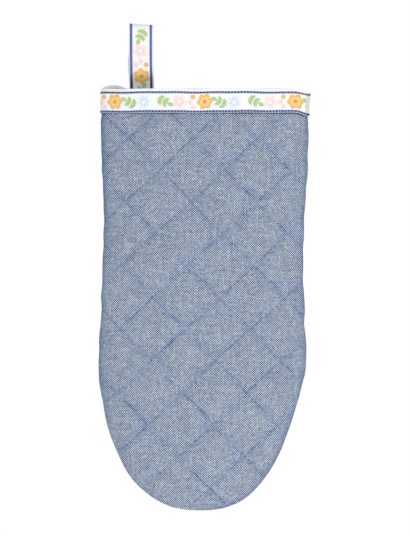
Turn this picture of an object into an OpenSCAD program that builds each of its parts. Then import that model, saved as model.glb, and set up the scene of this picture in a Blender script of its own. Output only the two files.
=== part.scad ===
// Quilted oven mitt: a padded pocket for the hand with a thumb on the palm,
// a woven ribbon round the cuff and a ribbon loop to hang it by.
// +Z points out of the cuff, the back of the hand faces -Y and the palm +Y.
// The origin is the middle of the hand opening, level with the cuff edge.

/* [Mitt body] */
// Length from the cuff edge to the fingertip seam
mitt_length = 308; // [270:1:360]
// Width across the cuff
cuff_width = 150; // [140:1:180]
// Width at the waist, below the cuff
waist_width = 146; // [136:1:176]
// Width across the knuckles, where the mitt is widest
hand_width = 152; // [140:1:180]
// Distance from the cuff edge down to the waist
waist_drop = 118; // [90:1:140]
// Distance from the cuff edge down to the start of the rounded end
hand_drop = 184; // [160:1:200]
// Front to back thickness at the cuff
cuff_depth = 28; // [24:0.5:44]
// Front to back thickness at the hand, without the thumb
hand_depth = 26; // [24:0.5:40]
// How far the rounded end drifts to one side
tip_drift = 4.5; // [0:0.5:10]
// How far the palm's cuff edge rises beside the hanging loop
cuff_rise = 3; // [0:0.5:6]

/* [Quilted wall] */
// Thickness of the outer chambray
cover_t = 0.5; // [0.4:0.1:1]
// Thickness of the wadding between the seams
wadding_t = 4; // [3:0.5:6]
// Thickness of the cotton lining
lining_t = 0.4; // [0.3:0.1:0.8]
// Share of its thickness that the wadding keeps at the side seams
seam_squeeze = 0.65; // [0.5:0.05:0.9]

/* [Cuff ribbon] */
// Width of the woven ribbon
ribbon_width = 18; // [12:0.5:25]
// Thickness of the woven ribbon
ribbon_t = 0.5; // [0.4:0.1:0.8]
// Distance from each edge of the ribbon to its row of topstitching
stitch_inset = 2; // [1:0.5:4]
// Thickness of the topstitching thread
stitch_t = 0.4; // [0.3:0.1:0.6]

/* [Hanging loop] */
// Height of the loop above the cuff edge
loop_height = 48; // [35:1:70]
// Distance from the left side seam to the middle of the loop
loop_inset = 29; // [22:1:45]
// Clear gap between the loop's two layers at the top
loop_gap = 7.2; // [6:0.2:12]
// Length of the ribbon ends sewn inside the cuff
loop_tail = 14; // [8:1:18]

/* [Thumb] */
// Distance from the cuff edge down to the thumb's root seam
thumb_drop = 115; // [95:1:125]
// Length of the thumb from its root seam to its tip
thumb_length = 92; // [80:1:100]
// Width of the thumb
thumb_width = 58; // [54:1:66]
// Thickness of the thumb, lying flat on the palm
thumb_depth = 19; // [18:0.5:26]
// Width of the thumb's opening in the palm
thumb_hole_width = 48; // [40:1:50]
// Height of the thumb's opening in the palm
thumb_hole_height = 22; // [18:1:28]

/* [Hidden] */

chambray = "#96a1b3";
cotton = "#eeeeea";
fleece = "#f4efe2";
ribbon_white = "#f6f8fa";
navy = "#3c468c";

FRONT = -1;  // the side of the mitt that faces -Y: the back of the hand
PALM = 1;    // the side that faces +Y

// Depth of each surface of the wall under the outer face, and how far it is set in
// at a seam: outer face, cover to wadding, wadding to lining, inner face.
DEPTH = [0, cover_t, cover_t + wadding_t, cover_t + wadding_t + lining_t];
INSET = [0, cover_t, cover_t + wadding_t * seam_squeeze,
         cover_t + wadding_t * seam_squeeze + lining_t];
wall = DEPTH[3];

seat_gap = 0.3;          // clearance between soft pieces on different bodies
thumb_rest_gap = 0.6;    // clearance between the thumb and the palm it lies on
thread_gap = 0.04;       // the topstitching lies this far off the ribbon
section_power = 2.6;     // how flat the faces are between the side seams
end_power = [2.15, 2.05];  // curve of the rounded end, seen from the front
end_depth_power = 3;     // how late the rounded end thins out, seen from the side
drift_start = 60;        // depth at which the mitt starts to drift to one side
drift_run = 200;         // depth over which it drifts
rise_fade = 40;          // depth over which the palm's raised cuff edge dies out
rise_clear = 0.6;        // the raised edge ends this far from the hanging loop
rise_from = 0.995;       // where it starts, as a share of the half width
rise_to = (cuff_width / 2 - loop_inset + ribbon_width / 2 + rise_clear) / (cuff_width / 2 - INSET[3]);

// Shares of the half width at which the walls have their columns of points.
edge_hole = thumb_hole_width / waist_width;
front_u = [for (k = [-8 : 8]) sin(90 * k / 8)];
palm_half_u = [0, edge_hole * 0.5, edge_hole, edge_hole + 0.008, (edge_hole + rise_to) / 2, rise_to,
               rise_to * 2 / 3 + 0.981 / 3, rise_to / 3 + 0.981 * 2 / 3, 0.981, 1];
palm_u = concat([for (k = [9 : -1 : 1]) -palm_half_u[k]], palm_half_u);

// Depths below the cuff edge at which the walls have their rows of points.
end_length = mitt_length - hand_drop;
function end_rows(count) = [for (k = [1 : count]) hand_drop + end_length * sin(90 * k / (count + 1))];
front_rows = concat([0, ribbon_width, 40, 65, 90, 115, 140, 163, hand_drop], end_rows(8));
wrist_rows = [0, ribbon_width, 42, 66, 90, thumb_drop];

/* ---- Curves of the mitt ---- */

function mix(a, b, t) = a + (b - a) * t;
function ease(t) = let (c = min(1, max(0, t))) c * c * (3 - 2 * c);
function cap(s, p, q) = pow(max(0, 1 - pow(min(1, s), p)), 1 / q);
function section(u) = cap(abs(u), section_power, 2);
function section_inverse(v) = pow(max(0, 1 - v * v), 1 / section_power);
function end_share(d) = max(0, d - hand_drop) / end_length;

function half_width(d) = d < waist_drop
    ? mix(cuff_width, waist_width, ease(d / waist_drop)) / 2
    : mix(waist_width, hand_width, ease((d - waist_drop) / (hand_drop - waist_drop))) / 2;
function half_depth(d) = mix(cuff_depth, hand_depth, ease(d / hand_drop)) / 2;
function drift(d) = -tip_drift * ease((d - drift_start) / drift_run);

// Width and depth of a wall surface below the cuff, with the surface in_y under the
// outer face and set in by in_x at the seams.
function width_at(d, in_x) =
    (half_width(min(d, hand_drop)) - in_x) * cap(end_share(d), end_power[0], end_power[1]);
function depth_at(d, in_y) =
    (half_depth(min(d, hand_drop)) - in_y) * cap(end_share(d), end_depth_power, 2);
function level_at(d, in_x) =
    -(min(d, hand_drop) + end_share(d) * (end_length - in_x));

// The palm's cuff edge stands up a little beside the loop.
function rise(u, d) = -u > rise_from || -u < rise_to ? 0
    : cuff_rise * sin(180 * (-u - rise_to) / (rise_from - rise_to)) * max(0, 1 - d / rise_fade);

// A point of a wall: u runs from one side seam to the other, -1 to 1.
function wall_point(u, d, in_y, in_x, side) =
    [drift(d) + width_at(d, in_x) * u,
     side * depth_at(d, in_y) * section(u),
     level_at(d, in_x) + (side == PALM ? rise(u, d) : 0)];

// How far the palm's surface stands out at x, d below the cuff.
function palm_y(x, d, in_y = 0, in_x = 0) =
    depth_at(d, in_y) * section(min(1, abs(x - drift(d)) / width_at(d, in_x)));

/* ---- Sheets of cloth ---- */

function flat_list(rows) = [for (r = rows) for (p = r) p];
function quad(a, b, c, d, flip) = flip ? [[a, c, b], [a, d, c]] : [[a, b, c], [a, c, d]];

// A closed solid between two grids of points with the same rows and columns.
// closed_end says that the last row is a single point, where the sheet comes to its tip.
// flip turns the faces for a sheet on the other side of the mitt.
module sheet(outer, inner, flip = false, closed_end = false) {
    rows = len(outer) - (closed_end ? 1 : 0);
    cols = len(outer[0]);
    grid = rows * cols;
    outer_tip = 2 * grid;
    inner_tip = outer_tip + 1;
    body_points = concat(flat_list([for (j = [0 : rows - 1]) outer[j]]),
                         flat_list([for (j = [0 : rows - 1]) inner[j]]));
    points = closed_end ? concat(body_points, [outer[rows][0], inner[rows][0]]) : body_points;
    function o(i, j) = j * cols + i;
    function n(i, j) = grid + j * cols + i;
    cells = [for (j = [0 : rows - 2]) for (i = [0 : cols - 2]) each concat(
        quad(o(i, j), o(i + 1, j), o(i + 1, j + 1), o(i, j + 1), flip),
        quad(n(i, j), n(i + 1, j), n(i + 1, j + 1), n(i, j + 1), !flip))];
    top = [for (i = [0 : cols - 2]) each quad(o(i, 0), n(i, 0), n(i + 1, 0), o(i + 1, 0), flip)];
    sides = [for (j = [0 : rows - 2]) each concat(
        quad(o(0, j), o(0, j + 1), n(0, j + 1), n(0, j), flip),
        quad(o(cols - 1, j), o(cols - 1, j + 1), n(cols - 1, j + 1), n(cols - 1, j), !flip))];
    last = rows - 1;
    open_end = [for (i = [0 : cols - 2])
        each quad(o(i, last), n(i, last), n(i + 1, last), o(i + 1, last), !flip)];
    tip_pair = [outer_tip, inner_tip];
    tip = concat(
        [for (i = [0 : cols - 2]) each [
            flip ? [o(i, last), tip_pair[0], o(i + 1, last)] : [o(i, last), o(i + 1, last), tip_pair[0]],
            flip ? [n(i, last), n(i + 1, last), tip_pair[1]] : [n(i, last), tip_pair[1], n(i + 1, last)]]],
        quad(o(0, last), tip_pair[0], tip_pair[1], n(0, last), flip),
        quad(o(cols - 1, last), tip_pair[0], tip_pair[1], n(cols - 1, last), !flip));
    polyhedron(points, concat(cells, top, sides, closed_end ? tip : open_end), convexity = 6);
}

// One layer of the back panel, from surface k to surface k + 1.
module back_layer(k) {
    rows = concat(front_rows, [mitt_length]);
    function skin(s) = [for (d = rows) [for (u = front_u)
        wall_point(u, d, DEPTH[s], INSET[s], FRONT)]];
    sheet(skin(k), skin(k + 1), flip = true, closed_end = true);
}

// One layer of the palm's wrist panel, from the cuff to the root of the thumb.
module wrist_layer(k) {
    function skin(s) = [for (d = wrist_rows) [for (u = palm_u)
        wall_point(u, d, DEPTH[s], INSET[s], PALM)]];
    sheet(skin(k), skin(k + 1));
}

// One layer of the palm's finger panel, from the cross seam to the fingertips, with
// the notch that opens into the thumb at the middle of its upper edge.
module finger_layer(k) {
    body = [0, 0.3, 0.65];
    function top_edge(u) = thumb_drop + (abs(u) < edge_hole + 0.004 ? thumb_hole_height : 0);
    function skin(s) = [for (j = [0 : 11]) [for (u = palm_u)
        wall_point(u, j < 3 ? mix(top_edge(u), hand_drop, body[j])
                            : j == 3 ? hand_drop : j == 11 ? mitt_length : end_rows(7)[j - 4],
                   DEPTH[s], INSET[s], PALM)]];
    sheet(skin(k), skin(k + 1), closed_end = true);
}

module back_cover() { color(chambray) back_layer(0); }
module back_wadding() { color(fleece) back_layer(1); }
module back_lining() { color(cotton) back_layer(2); }
module palm_wrist_cover() { color(chambray) wrist_layer(0); }
module palm_wrist_wadding() { color(fleece) wrist_layer(1); }
module palm_wrist_lining() { color(cotton) wrist_layer(2); }
module palm_finger_cover() { color(chambray) finger_layer(0); }
module palm_finger_wadding() { color(fleece) finger_layer(1); }
module palm_finger_lining() { color(cotton) finger_layer(2); }

/* ---- Thumb ---- */

hole_share = thumb_hole_height / thumb_length;  // share of the thumb beside its opening
swell_share = 0.42;       // share of its length over which the thumb reaches full thickness
tip_share = 0.55;         // where its rounded tip starts
thumb_power = 2.2;        // curve of its tip
thumb_cols = [for (k = [-5 : 5]) sin(90 * k / 5)];
thumb_tip_length = thumb_length * (1 - tip_share);

function thumb_end(t) = max(0, t - tip_share) / (1 - tip_share);
function thumb_cap(t) = cap(thumb_end(t), thumb_power, 2);
function thumb_half(t) = mix(thumb_hole_width / 2 - seat_gap, thumb_width / 2,
                             ease((t / hole_share - 0.3) / 0.9));
function thumb_swell(t) = thumb_depth * pow(sin(90 * min(1, t / swell_share)), 0.75);
function thumb_level(t, in_x) = thumb_drop + seat_gap + min(t, tip_share) * thumb_length
    + thumb_end(t) * (thumb_tip_length - seat_gap - in_x);

// The outer half grows out of the palm's wall at the root and domes over the palm.
function thumb_dome(u, t, k) =
    let (x = drift(thumb_drop) + (thumb_half(t) - INSET[k]) * thumb_cap(t) * u,
         d = thumb_level(t, INSET[k]),
         lifted = thumb_rest_gap + (thumb_swell(t) - DEPTH[k]) * thumb_cap(t) * section(u))
    [x, palm_y(x, d) + mix(-DEPTH[k], lifted, ease(t / (0.35 * hole_share))), -d];

module thumb_outer_layer(k) {
    rows = [0, 0.05, 0.1, 0.16, hole_share, 0.34, 0.45, tip_share, 0.68, 0.79, 0.88, 0.95, 0.985, 1];
    function skin(s) = [for (t = rows) [for (u = thumb_cols) thumb_dome(u, t, s)]];
    sheet(skin(k), skin(k + 1), closed_end = true);
}

// The inner half is a flat pad on the palm that closes the dome from below.
pad_end = 0.94;
pad_clear = 0.8;          // its edges stay this far inside the dome
function pad_room(t) = (thumb_depth - wall) * thumb_cap(t) * thumb_swell(t) / thumb_depth;
function pad_point(u, t, h) =
    let (w = ((thumb_half(t) - INSET[3]) * thumb_cap(t) - pad_clear)
             * section_inverse(min(0.98, h / pad_room(t))),
         x = drift(thumb_drop) + w * u,
         d = thumb_level(t, INSET[3]))
    [x, palm_y(x, d) + thumb_rest_gap + h, -d];

module thumb_inner_layer(k) {
    rows = [hole_share, 0.36, 0.48, tip_share, 0.68, 0.79, 0.87, pad_end];
    // The pad's cover is its lowest layer, so its surfaces count from the palm up.
    function skin(s) = [for (t = rows) [for (u = thumb_cols) pad_point(u, t, DEPTH[s])]];
    sheet(skin(k + 1), skin(k));
}

module thumb_outer_cover() { color(chambray) thumb_outer_layer(0); }
module thumb_outer_wadding() { color(fleece) thumb_outer_layer(1); }
module thumb_outer_lining() { color(cotton) thumb_outer_layer(2); }
module thumb_inner_cover() { color(chambray) thumb_inner_layer(0); }
module thumb_inner_wadding() { color(fleece) thumb_inner_layer(1); }
module thumb_inner_lining() { color(cotton) thumb_inner_layer(2); }

/* ---- Cuff ribbon and its topstitching ---- */

// The way round the cuff as [u, side, layers of ribbon underneath]. It starts at the
// ribbon's outer end beside the right seam and finishes under that end.
lap_lift = 1.15;
front_way = [for (k = [len(front_u) - 2 : -1 : 0]) [front_u[k], FRONT, k > len(front_u) - 4 ? lap_lift : 0]];
palm_way = [for (k = [1 : len(palm_u) - 1]) [palm_u[k], PALM, 0]];
ribbon_way = concat(front_way, palm_way, [[front_u[15], FRONT, 0], [front_u[14], FRONT, 0]]);
thread_way = concat(front_way, palm_way);

function cuff_point(way, d, off) = wall_point(way[0], d, -off, -off, way[1]);

module cuff_ribbon() {
    function face(layer) = [for (d = [0, ribbon_width]) [for (way = ribbon_way)
        cuff_point(way, d, (way[2] + layer) * ribbon_t)]];
    color(ribbon_white) sheet(face(1), face(0), flip = true);
}

// A closed ring of thread round the ribbon, d below the cuff edge.
module topstitching(d) {
    ring = len(thread_way);
    points = [for (level = [d - stitch_t / 2, d + stitch_t / 2]) for (layer = [0, 1])
        for (way = thread_way)
            cuff_point(way, level, (way[2] + 1) * ribbon_t + thread_gap + layer * stitch_t)];
    function at(level, layer, i) = (2 * level + layer) * ring + i % ring;
    faces = [for (i = [0 : ring - 1]) each concat(
        quad(at(0, 1, i), at(0, 1, i + 1), at(1, 1, i + 1), at(1, 1, i), true),
        quad(at(0, 0, i), at(0, 0, i + 1), at(1, 0, i + 1), at(1, 0, i), false),
        quad(at(0, 0, i), at(0, 0, i + 1), at(0, 1, i + 1), at(0, 1, i), true),
        quad(at(1, 0, i), at(1, 0, i + 1), at(1, 1, i + 1), at(1, 1, i), false))];
    color(navy) polyhedron(points, faces, convexity = 6);
}

module upper_topstitching() { topstitching(stitch_inset); }
module lower_topstitching() { topstitching(ribbon_width - stitch_inset); }

/* ---- Hanging loop ---- */

loop_x = loop_inset - cuff_width / 2;
loop_foot = 0.4;          // the free loop starts this far above the cuff edge
loop_pinch = 0.2;         // gap between the two layers at the loop's foot
loop_open_by = 26;        // height at which the loop has opened out
loop_rows = 10;
tail_lap = 0.1;           // gap between the two tails
loop_y = palm_y(loop_x, 0, wall, INSET[3]) - seat_gap - ribbon_t - tail_lap / 2;
loop_round = loop_height - ribbon_t - loop_gap / 2;  // height of the centre of the round top

function loop_half(z) = mix(loop_pinch, loop_gap, ease((z - loop_foot) / loop_open_by)) / 2;

// The loop seen from the side, as one strip of ribbon folded over at the top.
module loop_profile() {
    levels = [for (k = [0 : loop_rows]) mix(loop_foot, loop_round, k / loop_rows)];
    turn = [for (a = [15 : 15 : 165]) a];
    function leg(side, off) = [for (z = levels) [side * (loop_half(z) + off), z]];
    function arch(r) = [for (a = turn) [r * cos(a), loop_round + r * sin(a)]];
    function reversed(list) = [for (k = [len(list) - 1 : -1 : 0]) list[k]];
    outer = concat(leg(1, ribbon_t), arch(loop_gap / 2 + ribbon_t), reversed(leg(-1, ribbon_t)));
    inner = concat(leg(1, 0), arch(loop_gap / 2), reversed(leg(-1, 0)));
    polygon(concat(outer, reversed(inner)));
}

module hanging_loop() {
    color(ribbon_white)
        translate([loop_x - ribbon_width / 2, loop_y, 0])
            rotate([90, 0, 90])
                linear_extrude(ribbon_width) loop_profile();
}

// The loop's two ends, sewn one on the other to the lining inside the palm's cuff.
module loop_tails() {
    xs = [for (k = [-2 : 2]) loop_x + k * ribbon_width / 4];
    function face(off) = [for (d = [0, loop_tail]) [for (x = xs)
        [x, palm_y(x, d, wall, INSET[3]) - seat_gap - off, -d]]];
    color(ribbon_white) {
        sheet(face(0), face(ribbon_t));
        sheet(face(ribbon_t + tail_lap), face(2 * ribbon_t + tail_lap));
    }
}

back_cover();
back_wadding();
back_lining();
palm_wrist_cover();
palm_wrist_wadding();
palm_wrist_lining();
palm_finger_cover();
palm_finger_wadding();
palm_finger_lining();
thumb_outer_cover();
thumb_outer_wadding();
thumb_outer_lining();
thumb_inner_cover();
thumb_inner_wadding();
thumb_inner_lining();
cuff_ribbon();
upper_topstitching();
lower_topstitching();
hanging_loop();
loop_tails();
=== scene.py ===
"""Looks of a quilted oven mitt: chambray over wadding, cotton lining, printed ribbon, thread.

Lengths are in millimetres until a mesh is made. A place on the mitt is x across it, d down from
the cuff edge, and y from its back to its palm. u is x as a share of the half width there, and
side is FRONT for the mitt's back, which faces the camera, or PALM.
"""
import math

import bmesh
import bpy
import numpy as np
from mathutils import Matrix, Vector
from mathutils.geometry import delaunay_2d_cdt
from mathutils.kdtree import KDTree


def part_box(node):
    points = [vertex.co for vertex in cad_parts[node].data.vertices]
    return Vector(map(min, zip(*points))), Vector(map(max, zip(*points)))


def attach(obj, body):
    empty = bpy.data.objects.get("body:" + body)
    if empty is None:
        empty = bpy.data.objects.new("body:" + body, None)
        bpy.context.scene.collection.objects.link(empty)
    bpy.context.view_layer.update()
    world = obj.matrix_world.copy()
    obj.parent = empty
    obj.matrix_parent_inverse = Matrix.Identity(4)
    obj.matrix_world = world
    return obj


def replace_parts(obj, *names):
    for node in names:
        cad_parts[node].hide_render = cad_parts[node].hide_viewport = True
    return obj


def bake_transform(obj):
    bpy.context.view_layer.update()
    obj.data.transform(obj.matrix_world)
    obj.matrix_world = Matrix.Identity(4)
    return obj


MM = 0.001
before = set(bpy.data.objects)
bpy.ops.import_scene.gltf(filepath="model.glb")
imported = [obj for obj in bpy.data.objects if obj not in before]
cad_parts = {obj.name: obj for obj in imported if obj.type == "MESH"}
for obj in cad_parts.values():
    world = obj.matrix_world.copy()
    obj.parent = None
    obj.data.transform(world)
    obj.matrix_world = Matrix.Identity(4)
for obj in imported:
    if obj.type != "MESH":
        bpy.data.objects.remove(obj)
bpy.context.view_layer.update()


def box_mm(node):
    low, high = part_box(node)
    return np.array(low) / MM, np.array(high) / MM


FRONT, PALM = -1, 1  # the two values of side, which are also the signs of y there

# ---- Sizes, which are those of the CAD model ----
LENGTH = -box_mm("back_cover")[0][2]
THUMB_DROP = -box_mm("palm_wrist_cover")[0][2]
RIBBON_WIDTH = -box_mm("cuff_ribbon")[0][2]
LOOP_LOW, LOOP_HIGH = box_mm("hanging_loop")
LOOP_X = (LOOP_LOW[0] + LOOP_HIGH[0]) / 2
LOOP_Y = (LOOP_LOW[1] + LOOP_HIGH[1]) / 2
LOOP_TOP = LOOP_HIGH[2]
TAIL_DROP = -box_mm("loop_tails")[0][2]
CUFF_WIDTH, WAIST_WIDTH, HAND_WIDTH = 150, 146, 152
WAIST_DROP, HAND_DROP = 118, 184
CUFF_DEPTH, HAND_DEPTH = 28, 26
CUFF_RISE, RISE_FADE = 3.0, 40  # the palm's cuff edge rises beside the loop, and down to this drop
RISE_FROM, RISE_TO = 0.995, 0.7776  # it does so between these shares of the half width
COVER_T, WADDING_T, LINING_T, SQUEEZE = 0.5, 4.0, 0.4, 0.65
THUMB_LENGTH, THUMB_WIDTH, THUMB_DEPTH = 92, 58, 19
HOLE_WIDTH, HOLE_HEIGHT = 48, 22
SEAT_GAP, THUMB_REST_GAP = 0.3, 0.6  # clearances round the thumb's root, and between it and the palm
SECTION_POWER, WIDTH_CAP, DEPTH_CAP = 2.6, (1.85, 2.5), (3, 2)  # powers for cap()
END = LENGTH - HAND_DROP
WADDING_DEPTH = COVER_T + WADDING_T
WALL = WADDING_DEPTH + LINING_T
WADDING_INSET = COVER_T + WADDING_T * SQUEEZE
LINING_INSET = WADDING_INSET + LINING_T

# ---- Small departures from the solids' even curves, which follow the photo ----
WAIST_EASE, HAND_EASE = 0.8, 0.4  # the cloth is this much wider there than the solids
SWELL = 1.3  # its half width grows by this below the ribbon
# Steps of the mitt's middle line sideways: how far, from what drop, over what length.
DRIFT_STEPS = ((0.3, 10, 20), (-1.7, 60, 90), (-2.9, 195, 60), (0.9, 288, 18))
# Where the side seam lies inside (+) or outside (-) the outline: how far, at what drop, over what length.
LEFT_SWAY = ((-0.8, 59, 14), (1.25, 168.5, 12), (-1.4, 210.5, 11), (-0.75, 281, 10))
RIGHT_SWAY = ((-0.6, 60, 14), (1.2, 173, 6), (-0.7, 208, 9))
CORNER_DROP = 2.3  # the cuff's right corner hangs this much lower than its middle
RIM, RIM_T = 5.0, 0.1  # length of lining that turns over the wall's top edge, and its depth there
UPPER_ROW, LOWER_ROW = 2.2, 16.1  # the drops of the ribbon's two stripes, with the stitches on them


# ---- Curves of the mitt ----
def mix(a, b, t):
    return a + (b - a) * t


def ease(t):
    t = np.clip(t, 0, 1)
    return t * t * (3 - 2 * t)


def cap(s, p, q):
    """Falls from 1 to 0 as s goes from 0 to 1, like an ellipse where p and q are 2."""
    return np.maximum(0, 1 - np.clip(s, 0, 1) ** p) ** (1 / q)


def section(u):
    """The half depth at the share u of the half width, as a share of the greatest."""
    return cap(np.abs(u), SECTION_POWER, 2)


def end_share(d):
    """How far the drop d is into the rounded end, from 0 to 1."""
    return np.maximum(0, d - HAND_DROP) / END


def half_width(d):
    swell = SWELL * ease((d - 12) / 12) * (1 - ease((d - 25) / 80))
    wrist = mix(CUFF_WIDTH, WAIST_WIDTH + WAIST_EASE, ease(d / 100)) / 2 + swell
    hand = (HAND_WIDTH + HAND_EASE - WAIST_WIDTH - WAIST_EASE) / 2
    return wrist + hand * ease((d - WAIST_DROP - 8) / 64)


def half_depth(d):
    return mix(CUFF_DEPTH, HAND_DEPTH, ease(d / HAND_DROP)) / 2


def drift(d):
    """The mitt leans to its left towards the fingertips."""
    return sum(far * ease((d - start) / length) for far, start, length in DRIFT_STEPS)


def width_at(d, in_x=0.0):
    return (half_width(np.minimum(d, HAND_DROP)) - in_x) * cap(end_share(d), *WIDTH_CAP)


def depth_at(d, in_y=0.0):
    return (half_depth(np.minimum(d, HAND_DROP)) - in_y) * cap(end_share(d), *DEPTH_CAP)


def rise(u, d):
    """The palm's cuff edge stands up a little beside the loop."""
    share = np.clip((-u - RISE_TO) / (RISE_FROM - RISE_TO), 0, 1)
    return CUFF_RISE * np.sin(np.pi * share ** 1.25) ** 0.7 * np.clip(1 - d / RISE_FADE, 0, 1)


def corner_drop(x, d):
    return CORNER_DROP * ease((x - 65) / 11) * (1 - ease(d / 70))


def across(x, d):
    """A place's share of the half width there."""
    return np.clip((x - drift(d)) / np.maximum(width_at(d), 1e-6), -1, 1)


def arc_table(ratio):
    """Length along the section for each share u of its half width, in half widths."""
    u = np.sin(np.linspace(0, np.pi / 2, 400))
    step = np.hypot(np.diff(u), np.diff(ratio * section(u)))
    return u, np.concatenate([[0], np.cumsum(step)])


WALL_ARC, THUMB_ARC = arc_table(0.18), arc_table(0.62)


def run_along(points):
    """The length from the first point to each one."""
    return np.concatenate([[0], np.cumsum(np.linalg.norm(np.diff(points, axis=0), axis=1))])


def unit(vectors):
    return vectors / np.maximum(np.linalg.norm(vectors, axis=1, keepdims=True), 1e-12)


def cloth_across(x, centre, half, arc):
    """Distance over the cloth from the panel's middle line to a place on it."""
    u = np.clip((x - centre) / np.maximum(half, 1e-6), -1, 1)
    return centre + half * np.sign(u) * np.interp(np.abs(u), *arc)


def wall(x, d, in_y, in_x, side):
    """A point of a panel, in_y and in_x under its outer face. Above the cuff edge it turns over the rim."""
    over = np.clip(-d / RIM, 0, 1)
    d = np.maximum(d, 0)
    u = across(x, d)
    y_in, x_in = (mix(depth, RIM_T, ease(over)) for depth in (in_y, in_x))
    height = 0.15 + 0.9 * np.maximum(0, in_y - WADDING_DEPTH)
    lift = height * np.sin(np.minimum(over * np.pi, np.pi / 2))
    share = end_share(d)
    z = -(np.minimum(d, HAND_DROP) + share * (END - in_x)) + lift
    z = z + rise(u, d) * (side == PALM) - corner_drop(x, d)
    return np.stack([drift(d) + width_at(d, x_in) * u, side * depth_at(d, y_in) * section(u), z], -1)


def palm_y(x, d):
    """How far the palm's outer face stands out."""
    return depth_at(d) * section(across(x, d))


# ---- Curves of the thumb ----
HOLE_SHARE, SWELL_SHARE, TIP_SHARE = HOLE_HEIGHT / THUMB_LENGTH, 0.42, 0.55
THUMB_TIP = THUMB_LENGTH * (1 - TIP_SHARE)
THUMB_X = float(drift(np.float64(THUMB_DROP)))


def thumb_cap(t):
    return cap(np.maximum(0, t - TIP_SHARE) / (1 - TIP_SHARE), 2.2, 2)


def thumb_half(t):
    return mix(HOLE_WIDTH / 2 - SEAT_GAP, THUMB_WIDTH / 2, ease((t / HOLE_SHARE - 0.3) / 0.9))


def thumb_width(d):
    t = thumb_share(d)
    return thumb_half(t) * thumb_cap(t)


def thumb_swell(t):
    return THUMB_DEPTH * np.sin(np.pi / 2 * np.clip(t / SWELL_SHARE, 0, 1)) ** 0.75


def thumb_level(t, in_x=0.0):
    """The drop of the place that is the share t along the thumb."""
    past = np.maximum(0, t - TIP_SHARE) / (1 - TIP_SHARE)
    straight = THUMB_DROP + SEAT_GAP + np.minimum(t, TIP_SHARE) * THUMB_LENGTH
    return straight + past * (THUMB_TIP - SEAT_GAP - in_x)


def thumb_share(d):
    """How far along the thumb the drop d is, from 0 to 1."""
    run = d - THUMB_DROP - SEAT_GAP
    straight = TIP_SHARE * THUMB_LENGTH
    past = np.clip((run - straight) / (THUMB_TIP - SEAT_GAP), 0, 1)
    return np.where(run < straight, np.maximum(run, 0) / THUMB_LENGTH, TIP_SHARE + past * (1 - TIP_SHARE))


def dome(x, d, in_y, in_x, side=PALM):
    """A point of the thumb's outer half, which grows out of the palm. It is called like wall()."""
    t = thumb_share(d)
    u = np.clip((x - THUMB_X) / np.maximum(thumb_half(t) * thumb_cap(t), 1e-6), -1, 1)
    px = THUMB_X + (thumb_half(t) - in_x) * thumb_cap(t) * u
    level = thumb_level(t, in_x) - SEAT_GAP * (1 - ease(t / 0.05))
    lifted = THUMB_REST_GAP + (thumb_swell(t) - in_y) * thumb_cap(t) * section(u)
    y = palm_y(px, level) + mix(-in_y, lifted, ease(t / (0.35 * HOLE_SHARE)))
    return np.stack([px, y, -level], -1)


# ---- Quilting: two families of slightly wavy lines of stitches ----
class Quilting:
    """The lines of one panel. A family is its angle in degrees, its pitch, and where it starts.

    A share counts a family's lines, and is whole on each of them.
    """

    def __init__(self, rising, falling, seed):
        self.rising, self.falling, self.seed = rising, falling, seed

    def _line(self, family, sign, x, d, wave):
        angle, pitch, start = family
        a = math.radians(angle)
        s = x * math.sin(a) + sign * d * math.cos(a) - start
        k = self.seed + wave
        s = s + 0.7 * np.sin(x / 23 + k) * np.sin(d / 31 + 1.7 * k) + 0.35 * np.sin(x / 8.5 + d / 15 + k)
        return s / pitch

    def shares(self, x, d):
        return self._line(self.rising, 1, x, d, 0.4), self._line(self.falling, -1, x, d, 2.1)

    def distance(self, x, d):
        a, b = self.shares(x, d)
        return np.abs(a - np.round(a)) * self.rising[1], np.abs(b - np.round(b)) * self.falling[1]

    def place(self, a, b):
        """The place where the two shares are a and b."""
        ra, rb = math.radians(self.rising[0]), math.radians(self.falling[0])
        m = np.array([[math.sin(ra) / self.rising[1], math.cos(ra) / self.rising[1]],
                      [math.sin(rb) / self.falling[1], -math.cos(rb) / self.falling[1]]])
        back = np.linalg.inv(m)
        p = np.zeros(a.shape + (2,))
        for _ in range(6):
            now_a, now_b = self.shares(p[..., 0], p[..., 1])
            p = p + np.stack([a - now_a, b - now_b], -1) @ back.T
        return p


FRONT_QUILT = Quilting((42.7, 32.7, -11.9), (45.7, 34.1, 3.9), 0.0)
PALM_QUILT = Quilting((44.0, 33.4, 6.0), (44.5, 33.4, 12.0), 3.0)
THUMB_QUILT = Quilting((45.0, 33.4, 19.0), (45.0, 33.4, -9.0), 5.0)


# ---- Flat patterns and their meshes ----
def resample(points, step):
    """Points at even steps along a line."""
    points = np.asarray(points, float)
    run = run_along(points)
    count = max(2, int(round(run[-1] / step)) + 1)
    at = np.linspace(0, run[-1], count)
    return np.stack([np.interp(at, run, points[:, k]) for k in range(points.shape[1])], -1)


def side_line(first_d, half, centre, straight_end, tip_end):
    """The curved part of a pattern's outline: down its left side, round its end and up its right."""
    straight = np.arange(first_d, straight_end, 0.5)
    turn = straight_end + (tip_end - straight_end) * np.sin(np.linspace(0, np.pi / 2, 240))
    d = np.concatenate([straight, turn])
    left = np.stack([centre(d) - half(d), d], -1)
    right = np.stack([centre(d) + half(d), d], -1)
    return np.concatenate([left, right[::-1][1:]])


def inward(line):
    """Unit vectors across the line, into the panel."""
    along = unit(np.gradient(line, axis=0))
    return np.stack([along[:, 1], -along[:, 0]], -1)


def nearest(points, line, chunk=8000):
    """Distance from each point to the line's nearest point, and that point's index."""
    index = np.empty(len(points), int)
    own = (line ** 2).sum(1) / 2
    for k in range(0, len(points), chunk):
        index[k:k + chunk] = (own - points[k:k + chunk] @ line.T).argmin(1)
    return np.linalg.norm(points - line[index], axis=1), index


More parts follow.
